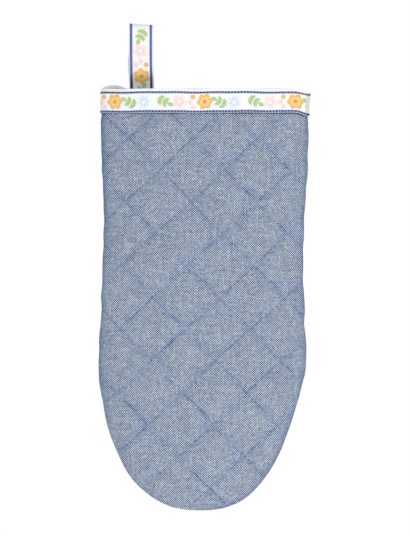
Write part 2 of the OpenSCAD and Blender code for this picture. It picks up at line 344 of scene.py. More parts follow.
RINGS = [0.12, 0.45, 1.0, 1.9, 3.2, 5.0, 7.0]  # distances of the rows of points along a side seam


def across_line(start, end, d, step=2.1, fine=(True, True)):
    """A row of points at the drop d, closer together at the ends that near a side seam."""
    way = np.sign(end - start)
    share = np.array([0.0] + RINGS[:-1])
    first, last = start + way * RINGS[-1] * fine[0], end - way * RINGS[-1] * fine[1]
    xs = np.linspace(first, last, max(2, int(abs(last - first) / step)) + 1)
    if fine[0]:
        xs = np.concatenate([start + way * share, xs])
    if fine[1]:
        xs = np.concatenate([xs, (end - way * share)[::-1]])
    return np.stack([xs, np.full(len(xs), float(d))], -1)


def pattern(curve, top, quilt, cells, step, rows=()):
    """A flat mesh inside an outline: rings along its curved side and a grid on the quilting lines.

    curve runs down the left side and up the right, and top goes back from right to left. cells is
    the grid's count between two lines of quilting, and step about the length of one. rows are
    drops near the top edge that get a row of points of their own.
    """
    border = np.concatenate([curve, top])
    spots = [tuple(spot) for spot in border]
    edges = [(k, (k + 1) % len(border)) for k in range(len(border))]
    start_d = curve[0][1]
    fine, normal = resample(curve, 0.4), inward(curve)
    for gap in RINGS:
        ring = curve + normal * gap
        ring = ring[ring[:, 1] > start_d + 0.9]
        ring = ring[nearest(ring, fine)[0] > 0.93 * gap]
        spots.extend(map(tuple, ring))
    a, b = quilt.shares(*border.T)
    at_a, at_b = (np.arange(math.floor(k.min() * cells), math.ceil(k.max() * cells) + 1) for k in (a, b))
    ga, gb = np.meshgrid(at_a / cells, at_b / cells, indexing="ij")
    grid = quilt.place(ga.ravel(), gb.ravel())
    grid = grid[inside(grid, border)]
    grid = grid[nearest(grid, curve)[0] > RINGS[-1] + 0.45 * step]
    top_points = resample(np.concatenate([curve[-1:], top, curve[:1]]), 0.5)
    grid = grid[nearest(grid, top_points)[0] > 0.6 * step]
    turned = max(rows, default=start_d - 1.0)
    grid = grid[grid[:, 1] > turned + 0.5 * step]
    spots.extend(map(tuple, grid))
    for level in rows:
        spots.extend(map(tuple, across_line(curve[0][0], curve[-1][0], level)[1:-1]))
    flat, _, faces, *_ = delaunay_2d_cdt([tuple(map(float, p)) for p in spots], edges, [], 1, 1e-5)
    flat = np.array([tuple(p) for p in flat])
    mesh = bmesh.new()
    verts = [mesh.verts.new((p[0], p[1], 0)) for p in flat]
    for f in faces:
        mesh.faces.new([verts[k] for k in f])
    flat_part = [f for f in mesh.faces if min(v.co.y for v in f.verts) >= turned]
    bmesh.ops.join_triangles(mesh, faces=flat_part, angle_face_threshold=3.2, angle_shape_threshold=0.7)
    mesh.verts.index_update()
    found = [tuple(v.index for v in f.verts) for f in mesh.faces]
    mesh.free()
    return flat, found


def inside(points, border):
    """Which points lie inside the closed line border."""
    x, y = points[:, 0], points[:, 1]
    result = np.zeros(len(points), bool)
    x0, y0 = border[:, 0], border[:, 1]
    x1, y1 = np.roll(x0, -1), np.roll(y0, -1)
    for k in range(len(border)):
        crosses = (y0[k] > y) != (y1[k] > y)
        if crosses.any():
            at = x0[k] + (y - y0[k]) / (y1[k] - y0[k]) * (x1[k] - x0[k])
            result ^= crosses & (x < at)
    return result


def halve(values, faces):
    """Each face split into quads. values has one row per point and is averaged at the new ones."""
    count, pairs, new_faces = len(values), {}, []
    for f in faces:
        for k in range(len(f)):
            pairs.setdefault((min(f[k], f[k - 1]), max(f[k], f[k - 1])), len(pairs))
    mids = np.array(list(pairs))
    mid_values = (values[mids[:, 0]] + values[mids[:, 1]]) / 2
    centre_values = np.array([values[list(f)].mean(0) for f in faces])
    for i, f in enumerate(faces):
        n = len(f)
        mid = [count + pairs[(min(f[k], f[k - 1]), max(f[k], f[k - 1]))] for k in range(n)]
        centre = count + len(mids) + i
        new_faces.extend((f[k], mid[(k + 1) % n], centre, mid[k]) for k in range(n))
    return np.concatenate([values, mid_values, centre_values]), new_faces


def smooth(values, faces, rounds):
    """The values of neighbouring points drawn towards each other."""
    pairs = {(min(f[k], f[k - 1]), max(f[k], f[k - 1])) for f in faces for k in range(len(f))}
    pairs = np.array(sorted(pairs))
    weight = np.zeros(len(values))
    np.add.at(weight, pairs[:, 0], 1)
    np.add.at(weight, pairs[:, 1], 1)
    for _ in range(rounds):
        total = np.zeros_like(values)
        np.add.at(total, pairs[:, 0], values[pairs[:, 1]])
        np.add.at(total, pairs[:, 1], values[pairs[:, 0]])
        values = 0.5 * values + 0.5 * total / weight[:, None]
    return values


def border_edges(faces):
    """The directed edges that only one face uses."""
    seen = {(f[k - 1], f[k]): None for f in faces for k in range(len(f))}
    return [e for e in seen if (e[1], e[0]) not in seen]


def normals_of(points, faces):
    """Each point's normal. The faces have three or four corners."""
    result = np.zeros_like(points)
    for size in (3, 4):
        f = np.array([g for g in faces if len(g) == size])
        if len(f):
            n = np.cross(points[f[:, 2]] - points[f[:, 0]], points[f[:, -1]] - points[f[:, 1]])
            for k in range(size):
                np.add.at(result, f[:, k], n)
    return unit(result)


def facing(points, faces, outward):
    """The faces, turned so that their normals look along outward on the whole."""
    n = normals_of(points, faces)
    return faces if (n * outward).sum() > 0 else [tuple(reversed(f)) for f in faces]


# ---- Objects ----
def add_object(name, data):
    obj = bpy.data.objects.new(name, data)
    bpy.context.scene.collection.objects.link(obj)
    return obj


def make(name, points, faces, material=None, cloth=None, tint=None, smooth_faces=True):
    """A mesh object. cloth is each point's place on its cloth, and tint a colour for the material."""
    mesh = bpy.data.meshes.new(name)
    mesh.from_pydata((np.asarray(points) * MM).tolist(), [], [tuple(map(int, f)) for f in faces])
    if material is not None:
        mesh.materials.append(material)
    if cloth is not None:
        layer = mesh.attributes.new("cloth", "FLOAT_VECTOR", "POINT")
        layer.data.foreach_set("vector", np.asarray(cloth, np.float32).ravel())
    if tint is not None:
        layer = mesh.color_attributes.new("tint", "FLOAT_COLOR", "POINT")
        colours = np.concatenate([tint, np.ones((len(tint), 1))], 1)
        layer.data.foreach_set("color", colours.astype(np.float32).ravel())
    mesh.polygons.foreach_set("use_smooth", [smooth_faces] * len(mesh.polygons))
    mesh.update()
    mesh.validate()
    return add_object(name, mesh)


def layered(name, outer, inner, faces, material, cloth, tint=None):
    """A closed piece between two layers of points that share their faces, cloth and tint."""
    count = len(outer)
    back = [tuple(k + count for k in reversed(f)) for f in faces]
    rim = [(b, a, a + count, b + count) for a, b in border_edges(faces)]
    tint = None if tint is None else np.concatenate([tint, tint])
    verts, cloth = np.concatenate([outer, inner]), np.concatenate([cloth, cloth])
    return make(name, verts, list(faces) + back + rim, material, cloth, tint)


CLOTH_SETTINGS = {
    "quality": 6, "mass": 0.3, "air_damping": 2.0,
    "tension_stiffness": 12, "compression_stiffness": 12, "shear_stiffness": 4, "bending_stiffness": 0.4,
    "vertex_group_mass": "held", "pin_stiffness": 1.0,
    "use_pressure": True, "uniform_pressure_force": 4.0, "shrink_min": -0.012}
CLOTH_FRAMES, MOST_PUFF = 20, 2.6  # length of the simulation, and how far a point may move


def inflate(jobs):
    """Cloth under pressure from inside, held along its stitches. A job is (points, faces, held).

    Returns how far each point has moved, and nothing is left of the simulation.
    """
    objects = []
    for k, (points, faces, held) in enumerate(jobs):
        obj = make(f"puff_{k}", points, faces)
        group = obj.vertex_groups.new(name="held")
        for index in np.nonzero(held > 0)[0]:
            group.add([int(index)], float(held[index]), "REPLACE")
        cloth = obj.modifiers.new("cloth", "CLOTH")
        for key, value in CLOTH_SETTINGS.items():
            setattr(cloth.settings, key, value)
        cloth.settings.effector_weights.gravity = 0
        cloth.collision_settings.use_collision = False
        cloth.point_cache.frame_start, cloth.point_cache.frame_end = 1, CLOTH_FRAMES + 4
        objects.append(obj)
    scene = bpy.context.scene
    for step in range(CLOTH_FRAMES):
        scene.frame_set(1 + step)
    moved = []
    graph = bpy.context.evaluated_depsgraph_get()
    for obj, (points, _, _) in zip(objects, jobs):
        shape = obj.evaluated_get(graph)
        got = np.array([v.co[:] for v in shape.data.vertices]) / MM - points
        size = np.linalg.norm(got, axis=1, keepdims=True)
        moved.append(got * np.minimum(1, MOST_PUFF / np.maximum(size, 1e-9)))
    for obj in objects:
        data = obj.data
        bpy.data.objects.remove(obj)
        bpy.data.meshes.remove(data)
    scene.frame_set(1)
    return moved


# ---- Materials ----
def linear(*rgb):
    """sRGB from 0 to 255 as linear colour."""
    c = np.array(rgb, float) / 255
    return tuple(np.where(c <= 0.04045, c / 12.92, ((c + 0.055) / 1.055) ** 2.4))


class Nodes:
    """Short names for the shader nodes that a material or the world uses.

    Values are sockets, numbers or tuples. s and v are a place along and across a ribbon.
    """

    def __init__(self, name, of_world=False):
        self.material = (bpy.data.worlds if of_world else bpy.data.materials).new(name)
        self.material.use_nodes = True
        self.tree = self.material.node_tree
        self.tree.nodes.clear()
        self.out = self.node("OutputWorld" if of_world else "OutputMaterial")
        if not of_world:
            self.shader = self.node("BsdfPrincipled")
            self.link(self.shader.outputs[0], self.out.inputs[0])

    def link(self, a, b):
        self.tree.links.new(a, b)

    def put(self, socket, value):
        if isinstance(value, bpy.types.NodeSocket):
            self.link(value, socket)
        elif isinstance(value, (tuple, list)):
            value = tuple(value)
            if len(value) == 3 and len(socket.default_value) == 4:
                value = value + (1,)
            socket.default_value = value
        else:
            socket.default_value = value

    def node(self, kind, values=(), **settings):
        """A new node, with its first inputs and its settings set."""
        n = self.tree.nodes.new("ShaderNode" + kind)
        for key, value in settings.items():
            setattr(n, key, value)
        for socket, value in zip(n.inputs, values):
            self.put(socket, value)
        return n

    def attribute(self, name, output="Vector"):
        return self.node("Attribute", attribute_name=name).outputs[output]

    def math(self, kind, *values):
        return self.node("Math", values, operation=kind).outputs[0]

    def plus(self, a, b):
        return self.math("ADD", a, b)

    def times(self, a, b):
        return self.math("MULTIPLY", a, b)

    def most(self, a, b):
        return self.math("MAXIMUM", a, b)

    def sine(self, a, factor):
        return self.math("SINE", self.times(a, factor))

    def size(self, a):
        return self.math("ABSOLUTE", a)

    def split(self, v):
        return tuple(self.node("SeparateXYZ", (v,)).outputs)

    def join(self, x, y, z=0.0):
        return self.node("CombineXYZ", (x, y, z)).outputs[0]

    def scaled(self, colour, shade):
        """The colour times a single value."""
        return self.mix(1.0, colour, self.join(shade, shade, shade), "MULTIPLY")

    def noise(self, v, scale, detail=2.0, rough=0.5):
        n = self.node("TexNoise")
        for key, value in (("Vector", v), ("Scale", scale), ("Detail", detail), ("Roughness", rough)):
            self.put(n.inputs[key], value)
        return n.outputs["Fac"]

    def white(self, v):
        n = self.node("TexWhiteNoise")
        self.put(n.inputs["Vector"], v)
        return n.outputs["Value"]

    def range(self, value, a, b, c, d, kind="SMOOTHSTEP"):
        """The value brought from the range a to b to the range c to d."""
        return self.node("MapRange", (value, a, b, c, d), interpolation_type=kind).outputs[0]

    def mix(self, share, a, b, kind="MIX"):
        n = self.node("Mix", (share,), data_type="RGBA", blend_type=kind)
        self.put(n.inputs[6], a)
        self.put(n.inputs[7], b)
        return n.outputs[2]

    def bump(self, height, strength, distance):
        n = self.node("Bump")
        for key, value in (("Strength", strength), ("Distance", distance), ("Height", height)):
            self.put(n.inputs[key], value)
        return n.outputs[0]

    def seen(self):
        """1 for rays from the camera, mirrored or let through, and 0 for rays that carry light."""
        path = self.node("LightPath").outputs
        return self.most(path["Is Camera Ray"], self.most(path["Is Glossy Ray"], path["Is Transmission Ray"]))

    def show(self, share, first, second):
        """The output is the first shader, and the second where share is 1."""
        blend = self.node("MixShader", (share, first.outputs[0], second.outputs[0]))
        self.link(blend.outputs[0], self.out.inputs[0])

    def finish(self, colour, roughness, normal=None, sheen=0.0):
        self.put(self.shader.inputs["Base Color"], colour)
        self.put(self.shader.inputs["Roughness"], roughness)
        self.shader.inputs["Specular IOR Level"].default_value = 0.25
        self.shader.inputs["Sheen Weight"].default_value = sheen
        if normal is not None:
            self.link(normal, self.shader.inputs["Normal"])
        return self.material


def plain_weave(n, cell, wander=2.0):
    """A plain weave of threads cell wide, whose lines wander a little.

    Returns which thread lies on top, the place counted in warp threads and in weft threads, the
    relief of the yarn, and the third number of the cloth's coordinates, which tells panels apart.
    """
    cloth = n.attribute("cloth")
    x, z, side = n.split(cloth)
    moved_cloth = n.node("VectorMath", (cloth, (71, 13, 5)), operation="ADD").outputs[0]
    counts = []
    for along, where in ((x, cloth), (z, moved_cloth)):
        bend = n.times(n.math("SUBTRACT", n.noise(where, 0.022, 1.0), 0.5), wander)
        counts.append(n.math("DIVIDE", n.plus(along, bend), cell))
    wave_x, wave_z = (n.sine(count, math.pi) for count in counts)
    return n.times(wave_x, wave_z), *counts, n.most(n.size(wave_x), n.size(wave_z)), side


def chambray():
    """White weft over blue warp. Each crossing and each thread differs a little."""
    n = Nodes("chambray")
    over, px, pz, yarn, side = plain_weave(n, 0.84)
    weft_on_top = n.range(over, -0.10, 0.16, 0.0, 1.0)
    warp_no, weft_no = n.math("FLOOR", px), n.math("FLOOR", pz)
    slub_warp = n.noise(n.join(n.times(warp_no, 7.3), n.times(pz, 0.05), side), 1.0, 3.0, 0.6)
    slub_weft = n.noise(n.join(n.times(px, 0.09), n.times(weft_no, 5.1), side), 1.0, 3.0, 0.6)
    warp = n.mix(n.range(slub_warp, 0.3, 0.7, 0.0, 1.0), linear(12, 33, 88), linear(74, 100, 150))
    weft = n.mix(n.range(slub_weft, 0.3, 0.7, 0.0, 1.0), linear(196, 210, 213), linear(236, 244, 241))
    colour = n.mix(weft_on_top, warp, weft)
    crossing = n.white(n.join(warp_no, weft_no, side))
    speck = n.noise(n.join(px, pz, side), 0.8, 2.0, 0.7)
    streak = n.noise(n.join(n.times(px, 0.55), n.times(pz, 0.045), side), 1.0, 2.0, 0.6)
    colour = n.mix(n.range(crossing, 0.0, 1.0, 0.0, 0.34, "LINEAR"), colour, linear(96, 120, 158))
    colour = n.mix(n.range(speck, 0.3, 0.7, 0.0, 0.20), colour, linear(52, 74, 120))
    colour = n.mix(n.range(streak, 0.56, 0.74, 0.0, 0.27), colour, linear(214, 222, 226))
    yarn_light = n.white(n.join(weft_no, warp_no, n.plus(side, 40.0)))
    grain = n.noise(n.join(pz, px, side), 1.3, 1.0, 0.5)
    uneven = n.plus(n.range(yarn_light, 0.0, 1.0, 0.80, 1.20, "LINEAR"),
                    n.range(grain, 0.3, 0.7, -0.12, 0.14, "LINEAR"))
    # The tint attribute carries the panels' painted shade and painted light.
    colour = n.mix(1.0, n.scaled(colour, uneven), n.attribute("tint", "Color"), "MULTIPLY")
    height = n.plus(n.times(yarn, 0.6), n.times(speck, 0.6))
    return n.finish(colour, 0.92, n.bump(height, 0.4, 0.0002), sheen=0.08)


def cotton():
    """The lining's fine off-white weave, with faint streaks."""
    n = Nodes("lining_cotton")
    over, px, pz, yarn, side = plain_weave(n, 0.55)
    streak = n.noise(n.join(n.math("FLOOR", px), n.times(pz, 0.05), side), 1.0, 2.0)
    colour = n.mix(n.range(over, -0.4, 0.4, 0.0, 1.0), linear(232, 234, 232), linear(250, 251, 249))
    colour = n.mix(n.range(streak, 0.35, 0.7, 0.0, 0.25), colour, linear(220, 223, 224))
    return n.finish(colour, 0.9, n.bump(yarn, 0.3, 0.00015), sheen=0.05)


def woven_ribbon():
    """The mesh's own colour, which is the print with some painted shadow, on fine ribs."""
    n = Nodes("printed_ribbon")
    s, v, side = n.split(n.attribute("cloth"))
    rib, wale = n.sine(s, 2 * math.pi / 0.5), n.sine(v, 2 * math.pi / 0.42)
    grain = n.noise(n.join(n.times(s, 2.2), n.times(v, 2.2), side), 1.0, 2.0, 0.6)
    shade = n.math("MULTIPLY_ADD", grain, 0.10, 0.945)
    shade = n.math("MULTIPLY_ADD", n.times(rib, wale), 0.018, shade)
    height = n.plus(n.times(rib, 0.5), n.times(wale, 0.5))
    colour = n.scaled(n.attribute("tint", "Color"), shade)
    return n.finish(colour, 0.62, n.bump(height, 0.2, 0.00008), sheen=0.1)


def thread(name, rgb, light):
    """Twisted thread, whose plies run round it."""
    n = Nodes(name)
    t, turn, _ = n.split(n.attribute("cloth"))
    ply = n.math("SINE", n.plus(n.times(t, 7.0), n.times(turn, 2.0)))
    colour = n.mix(n.range(ply, -1.0, 1.0, 0.0, 1.0), linear(*rgb), linear(*light))
    return n.finish(colour, 0.55, n.bump(ply, 0.4, 0.00006), sheen=0.1)


CHAMBRAY, COTTON, RIBBON = chambray(), cotton(), woven_ribbon()
NAVY = thread("navy_thread", (10, 14, 50), (34, 40, 92))
BLUE = thread("quilting_thread", (50, 64, 114), (80, 96, 142))


# ---- Panels ----
def sway(x, d):
    """How far the side seam lies inside the outline."""
    left, right = (sum(far * np.exp(-((d - at) / length) ** 2) for far, at, length in part)
                   for part in (LEFT_SWAY, RIGHT_SWAY))
    return np.where(x < 0, left, right)


def painted_seam_shade(x, d, gap):
    """Painted shade: the cloth is painted darker as it turns into the side seam, more on the left towards the
    cuff and least at the left of the fingertips.
    """
    far = gap[:, None]
    wide = np.exp(-(far / 3.2) ** 2) * [0.23, 0.19, 0.11] + np.exp(-(far / 5.5) ** 2) * [0.03, 0.02, 0.0]
    thin = np.exp(-(far / 1.9) ** 2) * [0.11, 0.12, 0.12]
    strong = 1 + 0.5 * (1 - ease((d - 40) / 90)) * (x < 0)
    strong = strong - 0.75 * ease((d - 190) / 90) * ease((15 - x) / 30)
    return 1 - strong[:, None] * (wide + thin)


def tube(points, radius, sides=6, ends=0.35):
    """A thread along points, thinner at its two ends. Returns its points, faces and cloth."""
    points = np.asarray(points, float)
    along = unit(np.gradient(points, axis=0))
    level = unit(np.cross(along, np.tile([0.0, 1.0, 0.0], (len(points), 1)) + 1e-3))
    lift = np.cross(level, along)
    share = np.linspace(-1, 1, len(points))
    r = radius * mix(1, ends, np.abs(share) ** 4)
    turn = np.arange(sides) * 2 * np.pi / sides
    ring = level[:, None] * np.cos(turn)[None, :, None] + lift[:, None] * np.sin(turn)[None, :, None]
    verts = (points[:, None] + ring * r[:, None, None]).reshape(-1, 3)
    run = np.repeat(run_along(points), sides)
    cloth = np.stack([run, np.tile(turn, len(points)), np.zeros(len(verts))], -1)
    faces = []
    for j in range(len(points) - 1):
        for i in range(sides):
            k = (i + 1) % sides
            faces.append((j * sides + i, j * sides + k, (j + 1) * sides + k, (j + 1) * sides + i))
    faces.append(tuple(reversed(range(sides))))
    faces.append(tuple(range((len(points) - 1) * sides, len(points) * sides)))
    return verts, faces, cloth


def threads(name, runs, radius, material):
    """One object with a tube along each run."""
    verts, faces, cloth, first = [], [], [], 0
    for run in runs:
        v, f, c = tube(run, radius)
        verts.append(v)
        faces.extend(tuple(k + first for k in g) for g in f)
        cloth.append(c)
        first += len(v)
    return make(name, np.concatenate(verts), faces, material, np.concatenate(cloth))


SUNK, DITCH = 1.0, 1.2  # how much lower the cloth lies away from its seams, and in the palm's seam
HELD_WIDTH = 0.55  # the simulated cloth is held this close to a line of quilting
# Heights of the groove along the quilting, of the puckers beside it and of the soft waves between.
GROOVE, PUCKER, SOFT = 0.62, 0.16, 0.22
# How far the side seam is drawn in by a line of quilting, swells between lines, and moves at the tip.
SEAM_PULL, SEAM_BULGE, TIP_PULL = 0.5, 0.45, -0.3
STITCH_DEPTH, STITCH_SPREAD = 0.26, 0.12  # how deep the quilting stitches lie, and how unevenly
# How much red, green and blue the painted shade takes away in the quilting's valleys and along its thin
# creases.
VALLEY_PAINTED_SHADE, CREASE_PAINTED_SHADE = np.array([0.13, 0.09, -0.02]), np.array([0.40, 0.34, 0.21])


class Panel:
    """One quilted panel: its flat pattern, the way it is mapped, and its quilting.

    curve and top are its outline, and place is wall or dome. seams are the parts of the outline
    that are sewn to another panel, sides those of them that lie in the mitt's side seam, and
    ditch those that lie in the seam across the palm.
    """

    def __init__(self, name, curve, top, place, side, quilt, seams, sides=(), ditch=()):
        self.name, self.place, self.side, self.quilt = name, place, side, quilt
        self.border = np.concatenate([curve, top])
        self.border_fine = resample(np.concatenate([self.border, self.border[:1]]), 1.0)
        self.flat, self.faces = pattern(curve, top, quilt, cells=16, step=2.1)
        seams, sides, ditch = ([resample(line, 0.5) for line in lines] for lines in (seams, sides, ditch))
        self.seams = np.concatenate(seams)
        self.sides = np.concatenate(sides) if sides else None
        self.sides_in = np.concatenate([inward(line) for line in sides]) if sides else None
        self.ditch = np.concatenate(ditch) if ditch else None

    def base(self, flat):
        """The panel's smooth shape, a little lower away from its seams than the solids' outer face."""
        sunk = SUNK * ease(nearest(flat, self.seams)[0] / 9)
        return self.place(*flat.T, sunk, 0.0, self.side)

    def job(self):
        """The panel for inflate(), held on its edges, its quilting and under the ribbon."""
        points = self.base(self.flat)
        self.faces = facing(points, self.faces, np.tile([0, self.side, 0], (len(points), 1)))
        x, d = self.flat.T
        sewn = (np.minimum(*self.quilt.distance(x, d)) < HELD_WIDTH) | (d < LOWER_ROW + 1)
        held = np.where(sewn, 1.0, 0.0)
        for a, b in border_edges(self.faces):
            held[a] = held[b] = 1.0
        return points, self.faces, held

    def relief(self, flat):
        """How far the cloth lies above its smooth shape: grooves, puckers and soft unevenness.

        Also returns each point's distance from the quilting, and how strongly painted shade darkens it along
        the quilting's thin creases.
        """
        x, d = flat.T
        da, db = self.quilt.distance(x, d)
        sa, sb = self.quilt.shares(x, d)
        pa, pb = self.quilt.rising[1], self.quilt.falling[1]
        line = np.minimum(da, db)
        along = np.where(da < db, sb * pb, sa * pa)
        number = np.round(np.where(da < db, sa, sb))
        k = self.quilt.seed
        tight = 0.75 + 0.35 * np.sin(along / 11 + 3 * number + k)
        groove = -GROOVE * tight * np.exp(-(line / 1.15) ** 2)
        pucker = PUCKER * np.sin(along * 1.45 + 1.3 * np.sin(along / 7) + k) * np.exp(-line / 3.2)
        soft = SOFT * np.sin(x / 13 + k) * np.sin(d / 17 + 2 * k) + 0.10 * np.sin(x / 5.3 + d / 7.1)
        puff = 0
        which = 5 * number + k
        # Painted shade along the quilting's thin creases, stronger in some stretches than others.
        deep = np.clip(0.26 + 0.5 * np.sin(along / 12 + which) + 0.5 * np.sin(along / 2.9 + 2 * which), 0, 1)
        return groove + pucker + soft * ease(line / 5) + puff, line, deep * np.exp(-(line / 0.5) ** 2)

    def draw_in(self, points, flat):
        """The side seam draws the cloth in, a little more where a line of quilting runs into it."""
        gap, index = nearest(flat, self.sides)
        at, into = self.sides[index], self.sides_in[index]
        pull = SEAM_PULL * np.exp(-(np.minimum(*FRONT_QUILT.distance(*at.T)) / 4.0) ** 2) - SEAM_BULGE
        pull = mix(pull, TIP_PULL, 0.7 * ease((at[:, 1] - 195) / 40)) + sway(*at.T)
        move = pull * np.exp(-gap / 2.5) + 0.6 * np.exp(-(points[:, 1] / 0.8) ** 2) * (gap < 3)
        move = move * ease((flat[:, 1] - LOWER_ROW + 4) / 12)
        points[:, 0] += into[:, 0] * move
        points[:, 2] -= into[:, 1] * move

    def shade(self, flat, line, crease_shade):
        """The cloth's tint, all of it painted: painted shade in the quilting's valleys and creases and
        towards the side seam, and painted light just below the ribbon.
        """
        x, d = flat.T
        patchy = 0.62 + 0.38 * np.sin(x / 7.3 + 2.1 * np.sin(d / 12)) * np.sin(d / 8.9 + 1.7 * np.sin(x / 15))
        shade = 1 - (patchy * np.exp(-(line / 3.4) ** 2))[:, None] * VALLEY_PAINTED_SHADE
        shade = shade * (1 - crease_shade[:, None] * CREASE_PAINTED_SHADE)
        # Painted light: the cloth just below the ribbon is painted a little lighter.
        shade = shade * (1 + 0.07 * np.exp(-((d - RIBBON_WIDTH) / 2.6) ** 2))[:, None]
        if self.sides is not None:
            shade = shade * painted_seam_shade(x, d, nearest(flat, self.sides)[0])
        return shade

    def build(self, moved):
        """The panel's cover with its wadding, as one closed piece."""
        both, faces = halve(np.concatenate([self.flat, moved], 1), self.faces)
        flat, shift = both[:, :2], smooth(both[:, 2:], faces, 2)
        points = self.base(flat)
        faces = facing(points, faces, np.tile([0, self.side, 0], (len(points), 1)))
        normal = normals_of(points, faces)
        height, line, crease_shade = self.relief(flat)
        far = nearest(flat, self.seams)[0]
        free = ease((flat[:, 1] - LOWER_ROW + 1) / 8)
        points = points + shift * (ease(far / 2) * free)[:, None]
        points = points + normal * (height * ease(far / 5) * free)[:, None]
        if self.sides is not None:
            self.draw_in(points, flat)
        if self.ditch is not None:
            gap = nearest(flat, self.ditch)[0]
            fade = ease(nearest(flat, self.sides)[0] / 6)
            points = points - normal * (DITCH * fade * (1 - ease(gap / 3.2)))[:, None]
            line = np.minimum(line, gap + 0.5)
        x, d = flat.T
        back = self.place(x, d, WADDING_DEPTH, WADDING_INSET, self.side)
        shade = self.shade(flat, line, crease_shade)
        if self.place is wall:
            over_x = cloth_across(x, drift(d), width_at(d), WALL_ARC)
        else:
            over_x = cloth_across(x, THUMB_X, thumb_width(d), THUMB_ARC)
        cloth = np.stack([over_x, d, np.full(len(flat), 10 * self.quilt.seed + 3 * (self.side + 1))], 1)
        self.final, self.normal = points, normal
        self.tree = KDTree(len(flat))
        for k, p in enumerate(flat):
            self.tree.insert((p[0], p[1], 0), k)
        self.tree.balance()
        obj = layered(self.name, points, back, faces, CHAMBRAY, cloth, shade)
        return obj

    def on_surface(self, spots, lift):
        """The points at those places of the pattern, lifted off the finished cloth."""
        result = []
        for x, d in spots:
            found = self.tree.find_n((x, d, 0), 4)
            w = np.array([1 / (dist + 0.05) ** 2 for _, _, dist in found])
            w /= w.sum()
            ids = [i for _, i, _ in found]
            result.append(w @ self.final[ids] + lift * (w @ self.normal[ids]))
        return np.array(result)

    def stitch_runs(self, pitch=3.3, length=2.3, lift=0.1, margin=1.4):
        """The quilting stitches as short bowed runs along both families of lines.

        Some lie deeper in the cloth than others, and those that would cross the outline are left out.
        """
        a, b = self.quilt.shares(*self.border.T)
        spread = np.linspace(-0.5, 0.5, 5)
        mids = []
        families = (0, a, b, self.quilt.falling[1]), (1, b, a, self.quilt.rising[1])
        for family, own, other, other_pitch in families:
            for k in range(math.ceil(own.min()), math.floor(own.max()) + 1):
                for i in range(int((other.max() - other.min()) * other_pitch / pitch)):
                    t = other.min() + (i + 0.5) * pitch / other_pitch + spread * length / other_pitch
                    mids.append((np.full(5, float(k)), t) if family == 0 else (t, np.full(5, float(k))))
        spots = self.quilt.place(np.array([m[0] for m in mids]), np.array([m[1] for m in mids]))
        ends = spots[:, [0, 2, 4]].reshape(-1, 2)
        fits = inside(ends, self.border) & (nearest(ends, self.border_fine)[0] > margin)
        runs = []
        for line in spots[fits.reshape(-1, 3).all(1)]:
            x, d = line[2]
            uneven = math.sin(x / 6.1 + 1.3 * math.sin(d / 9.7)) * math.sin(d / 7.3 + x / 19)
            depth = STITCH_DEPTH * (1 + uneven) + STITCH_SPREAD * math.sin(5.3 * x + 3.1 * d)
            bow = lift - depth - 0.25 * np.abs(2 * spread) ** 3
            p = self.on_surface(line, 0)
            runs.append(p + (self.on_surface(line, 1) - p) * bow[:, None])
        return runs


RIM_ROWS = [-3.2, -1.9, -1.0, -0.45, 0.0, 0.5, 1.2]  # drops of the lining's rows of points at the rim


def with_rim(curve):
    """The curve, made longer at its two ends so that the lining turns over the rim."""
    levels = np.array([-RIM] + [level for level in RIM_ROWS if level < 0])
    left = np.stack([np.full(len(levels), curve[0][0]), levels], -1)
    right = np.stack([np.full(len(levels), curve[-1][0]), levels[::-1]], -1)
    return np.concatenate([left, curve, right])


def lining(name, curve, top, place, side, quilt):
    """A lining sheet with the quilting pressed into it, turned over the rim where it has one.

    Returns it and its area in square metres.
    """
    flat, faces = pattern(curve, top, quilt, 10, 3.2, RIM_ROWS if curve[0][1] < 0 else ())
    x, d = flat.T
    inner = place(x, d, WALL, LINING_INSET, side)
    outer = place(x, d, WADDING_DEPTH, WADDING_INSET, side)
    faces = facing(inner, faces, np.tile([0, -side, 0], (len(inner), 1)))
    normal = normals_of(inner, faces)
    line = np.minimum(*quilt.distance(x, d))
    far = nearest(flat, resample(curve, 0.5))[0]
    dent = 0.35 * ease(line / 6) - 0.3 * np.exp(-(line / 1.5) ** 2)
    dent = dent * ease(far / 6) * ease((d + 1) / 4)
    inner = inner + normal * dent[:, None]
    outer = outer + normal * (np.minimum(dent, 0) - 0.02)[:, None]
    cloth = np.concatenate([flat, np.full((len(flat), 1), 7.0 * side)], 1)
    obj = layered(name, inner, outer, faces, COTTON, cloth)
    triangles = np.array([(f[0], f[k], f[k + 1]) for f in faces for k in range(1, len(f) - 1)])
    a, b, c = (inner[triangles[:, k]] for k in range(3))
    area = float(np.linalg.norm(np.cross(b - a, c - a), axis=1).sum() / 2) * MM * MM
    return obj, area


def top_line(curve):
    """The cuff edge, from the curve's right end back to its left."""
    return across_line(curve[-1][0], curve[0][0], curve[0][1])[1:-1]


# Outlines of the panels' flat patterns. The palm's finger panel has a notch for the thumb's opening.
NOTCH = HOLE_WIDTH / 2
front_curve = resample(side_line(0.0, width_at, drift, HAND_DROP, LENGTH), 2.1)
front_top = top_line(front_curve)
finger_curve = resample(side_line(THUMB_DROP, width_at, drift, HAND_DROP, LENGTH), 2.1)
right_shoulder = across_line(finger_curve[-1][0], THUMB_X + NOTCH, THUMB_DROP, fine=(True, False))
left_shoulder = across_line(THUMB_X - NOTCH, finger_curve[0][0], THUMB_DROP, fine=(False, True))
notch_line = resample([(THUMB_X + NOTCH, THUMB_DROP), (THUMB_X + NOTCH, THUMB_DROP + HOLE_HEIGHT),
                       (THUMB_X - NOTCH, THUMB_DROP + HOLE_HEIGHT), (THUMB_X - NOTCH, THUMB_DROP)], 2.0)
finger_top = np.concatenate([right_shoulder[1:-1], notch_line, left_shoulder[1:-1]])
down = np.linspace(0.0, THUMB_DROP, 56)
wrist_left = np.stack([drift(down) - width_at(down), down], -1)
